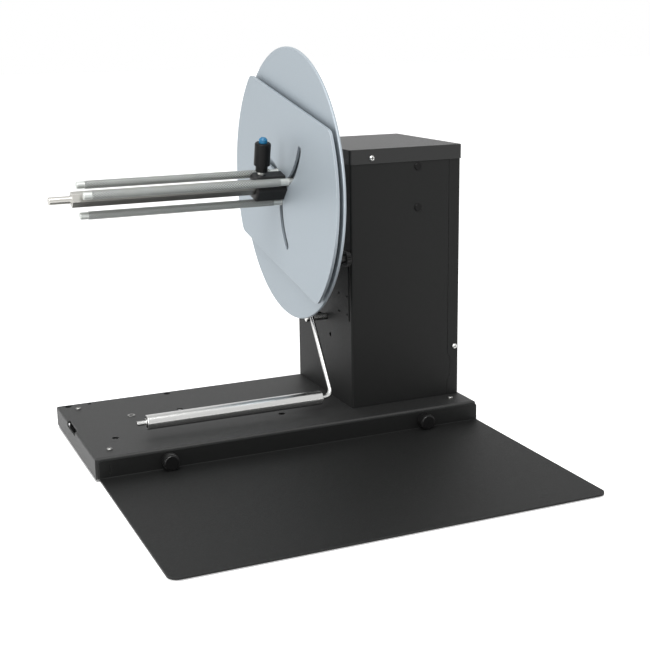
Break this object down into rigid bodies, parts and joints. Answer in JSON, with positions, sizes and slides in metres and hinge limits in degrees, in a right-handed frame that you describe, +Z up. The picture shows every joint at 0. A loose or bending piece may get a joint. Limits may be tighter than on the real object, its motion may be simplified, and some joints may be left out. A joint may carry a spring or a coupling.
{
  "type": "manual label rewinder",
  "caption": "Bench-top manual label rewinder: expanding three-rod chuck with disc flange on a tower, dancer roller arm, base tray and front plate.",
  "frame": {"origin": "on the table, in the middle of the footprint", "axes": "+X along the spindle towards the tower, +Y from the front plate to the back, +Z up"},
  "size_m": [0.448, 0.517, 0.423],
  "materials": {
    "coat": "fine textured black powder coat",
    "steel": "bright ground steel",
    "plated": "zinc-plated fasteners",
    "disc": "satin aluminium plate",
    "alloy": "machined aluminium",
    "black_alloy": "black anodised",
    "plastic": "black moulded",
    "blue": "blue moulded",
    "rubber": "matt rubber",
    "felt": "brake felt"
  },
  "bodies": {
    "base": {"base_tray": "coat", "front_plate": "coat", "tower_frame": "coat", "tower_side_cover": "coat", "tower_cap": "coat", "base_feet": "rubber", "plate_pads": "rubber", "foot_screws": "plated", "insert_nut": "plated", "weld_nuts": "plated", "cap_screws": "plated", "cover_screws": "plated", "tower_bolts": "plated", "standoff_screws": "plated", "arm_pivot_nut": "plated", "arm_stop_nut": "plated", "arm_pivot_bolt": "plated", "arm_stop_peg": "plated", "blanking_plugs": "plastic", "bearing_housing": "alloy", "bearing_plate": "alloy", "standoffs": "steel", "ball_bearings": "steel", "brake_lever": "steel", "brake_pivot": "steel", "brake_spring": "steel", "brake_pad": "felt"},
    "spindle": {"mandrel_spindle": "steel", "flange_disc": "disc", "flange_hub": "alloy", "brake_drum": "steel", "spindle_nut": "plated"},
    "chuck_plate": {"slotted_plate": "disc", "hub_block": "black_alloy"},
    "clamp": {"clamp_stud": "plated", "clamp_knob": "plastic"},
    "button": {"clamp_button": "blue"},
    "rod_1": {"core_rod_1": "steel", "rod_nut_1": "plated"},
    "rod_2": {"core_rod_2": "steel", "rod_nut_2": "plated"},
    "rod_3": {"core_rod_3": "steel", "rod_nut_3": "plated"},
    "dancer": {"dancer_arm": "steel", "arm_hub": "alloy", "roller_clips": "plated"},
    "roller": {"roller_tube": "steel", "roller_bushes": "plastic"},
    "plate_screw_left": {"plate_knob_left": "plastic"},
    "plate_screw_right": {"plate_knob_right": "plastic"},
    "tension_slide": {"tension_slider": "steel"},
    "tension_screw": {"tension_knob": "plastic"}
  },
  "joints": [
    {"name": "spindle_turn", "type": "hinge", "parent": "base", "child": "spindle", "pos_m": [-0.2165, 0.1071, 0.2716], "axis": [1, 0, 0], "continuous": true},
    {"name": "chuck_turn", "type": "hinge", "parent": "spindle", "child": "chuck_plate", "pos_m": [-0.2165, 0.1071, 0.2716], "axis": [1, 0, 0], "range_deg": [0, 21]},
    {"name": "clamp_turn", "type": "hinge", "parent": "chuck_plate", "child": "clamp", "pos_m": [0.0113, 0.1071, 0.2716], "axis": [0, -0.225, 0.9744], "range_deg": [0, 180]},
    {"name": "button_push", "type": "slide", "parent": "clamp", "child": "button", "axis": [0, -0.225, 0.9744], "range_m": [-0.002, 0], "stiffness_N_per_m": 250},
    {"name": "rod_1_slide", "type": "slide", "parent": "spindle", "child": "rod_1", "axis": [0, 0.7314, 0.682], "range_m": [0, 0.04678]},
    {"name": "rod_2_slide", "type": "slide", "parent": "spindle", "child": "rod_2", "axis": [0, -0.9563, 0.2924], "range_m": [0, 0.04678]},
    {"name": "rod_3_slide", "type": "slide", "parent": "spindle", "child": "rod_3", "axis": [0, 0.225, -0.9744], "range_m": [0, 0.04678]},
    {"name": "dancer_swing", "type": "hinge", "parent": "base", "child": "dancer", "pos_m": [0.0652, 0.133, 0.1745], "axis": [1, 0, 0], "range_deg": [-55, 0]},
    {"name": "roller_turn", "type": "hinge", "parent": "dancer", "child": "roller", "pos_m": [-0.0485, 0.041, 0.0392], "axis": [1, 0, 0], "continuous": true},
    {"name": "plate_screw_left_turn", "type": "hinge", "parent": "base", "child": "plate_screw_left", "pos_m": [-0.14, -0.007, 0.0126], "axis": [0, -1, 0], "range_deg": [0, 360]},
    {"name": "plate_screw_right_turn", "type": "hinge", "parent": "base", "child": "plate_screw_right", "pos_m": [0.1565, -0.007, 0.0126], "axis": [0, -1, 0], "range_deg": [0, 360]},
    {"name": "tension_move", "type": "slide", "parent": "base", "child": "tension_slide", "axis": [0, 0, 1], "range_m": [-0.07, 0], "deforming": ["brake_spring"]},
    {"name": "tension_screw_turn", "type": "hinge", "parent": "tension_slide", "child": "tension_screw", "pos_m": [0.0853, 0.0353, 0.196], "axis": [-1, 0, 0], "range_deg": [0, 360]}
  ],
  "couplings": [
    {"joint": "rod_1_slide", "follows": "chuck_turn", "m_per_rad": 0.12761},
    {"joint": "rod_2_slide", "follows": "chuck_turn", "m_per_rad": 0.12761},
    {"joint": "rod_3_slide", "follows": "chuck_turn", "m_per_rad": 0.12761}
  ]
}
